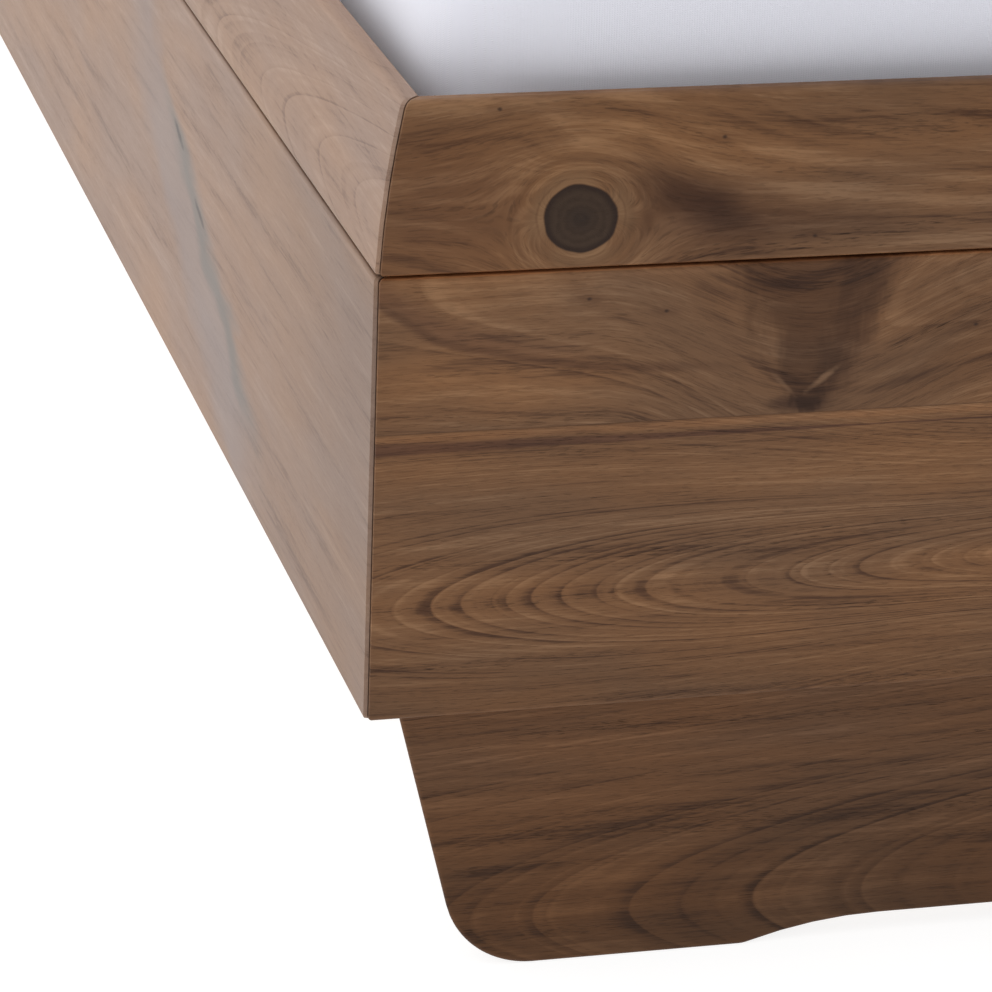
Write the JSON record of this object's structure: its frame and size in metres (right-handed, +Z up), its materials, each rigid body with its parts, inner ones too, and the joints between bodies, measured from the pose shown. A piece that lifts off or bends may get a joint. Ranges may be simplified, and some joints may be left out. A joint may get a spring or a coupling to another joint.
{
  "type": "sleigh bed",
  "caption": "Low walnut double bed: leaning caps over mitred rails, sledge-shaped runner panels, a bent headboard, a slatted base and a mattress in a white fitted sheet.",
  "frame": {"origin": "on the floor, under the middle of the whole bed with its headboard", "axes": "+X to the right seen from the foot end, +Y from the foot to the head, +Z up"},
  "size_m": [1.654, 2.1708, 0.8962],
  "materials": {
    "walnut": "oiled, matt",
    "slat_wood": "planed, unfinished",
    "beech": "planed, unfinished",
    "black_steel": "powder coated",
    "zinc_steel": "zinc plated",
    "pad_plastic": "moulded, matt",
    "fitted_sheet": "fine cotton jersey"
  },
  "bodies": {
    "bed_frame": {"bracket_screws": "zinc_steel", "cap_dowels": "beech", "centre_beam": "slat_wood", "centre_leg": "slat_wood", "foot_beam_hanger": "black_steel", "foot_cap": "walnut", "foot_left_bracket": "black_steel", "foot_rail": "walnut", "foot_right_bracket": "black_steel", "foot_runner": "walnut", "hanger_screws": "zinc_steel", "head_beam_hanger": "black_steel", "head_cap": "walnut", "head_left_bracket": "black_steel", "head_rail": "walnut", "head_right_bracket": "black_steel", "head_runner": "walnut", "headboard_bolts": "zinc_steel", "headboard_lower_board": "walnut", "headboard_middle_board": "walnut", "headboard_screws": "zinc_steel", "headboard_top_board": "walnut", "ledge_screws": "zinc_steel", "left_headboard_stile": "walnut", "left_ledge": "slat_wood", "left_side_cap": "walnut", "left_side_rail": "walnut", "leg_bolt": "zinc_steel", "leg_insert": "zinc_steel", "mitre_splines": "beech", "right_headboard_stile": "walnut", "right_ledge": "slat_wood", "right_side_cap": "walnut", "right_side_rail": "walnut", "runner_bolts": "zinc_steel"},
    "slatted_base": {"base_centre_stringer": "slat_wood", "base_left_stringer": "slat_wood", "base_right_stringer": "slat_wood", "slat_01": "slat_wood", "slat_02": "slat_wood", "slat_03": "slat_wood", "slat_04": "slat_wood", "slat_05": "slat_wood", "slat_06": "slat_wood", "slat_07": "slat_wood", "slat_08": "slat_wood", "slat_09": "slat_wood", "slat_10": "slat_wood", "slat_11": "slat_wood", "slat_12": "slat_wood", "slat_13": "slat_wood", "slat_14": "slat_wood", "slat_screws": "zinc_steel"},
    "mattress": {"mattress": "fitted_sheet"},
    "levelling_foot": {"levelling_pad": "pad_plastic"},
    "levelling_screw": {"levelling_stem": "zinc_steel"}
  },
  "joints": [
    {"name": "slatted_base_lift", "type": "slide", "parent": "bed_frame", "child": "slatted_base", "axis": [0, 0, 1], "range_m": [0, 0.3]},
    {"name": "mattress_lift", "type": "slide", "parent": "slatted_base", "child": "mattress", "axis": [0, 0, 1], "range_m": [0, 0.3]},
    {"name": "levelling_foot_travel", "type": "slide", "parent": "bed_frame", "child": "levelling_foot", "axis": [0, 0, -1], "range_m": [0, 0.02]},
    {"name": "levelling_screw_turn", "type": "hinge", "parent": "levelling_foot", "child": "levelling_screw", "pos_m": [0, -0.05845, 0.03], "axis": [0, 0, -1], "range_deg": [0, 5760]}
  ],
  "couplings": [
    {"joint": "levelling_screw_turn", "follows": "levelling_foot_travel", "rad_per_m": 5026.5}
  ]
}
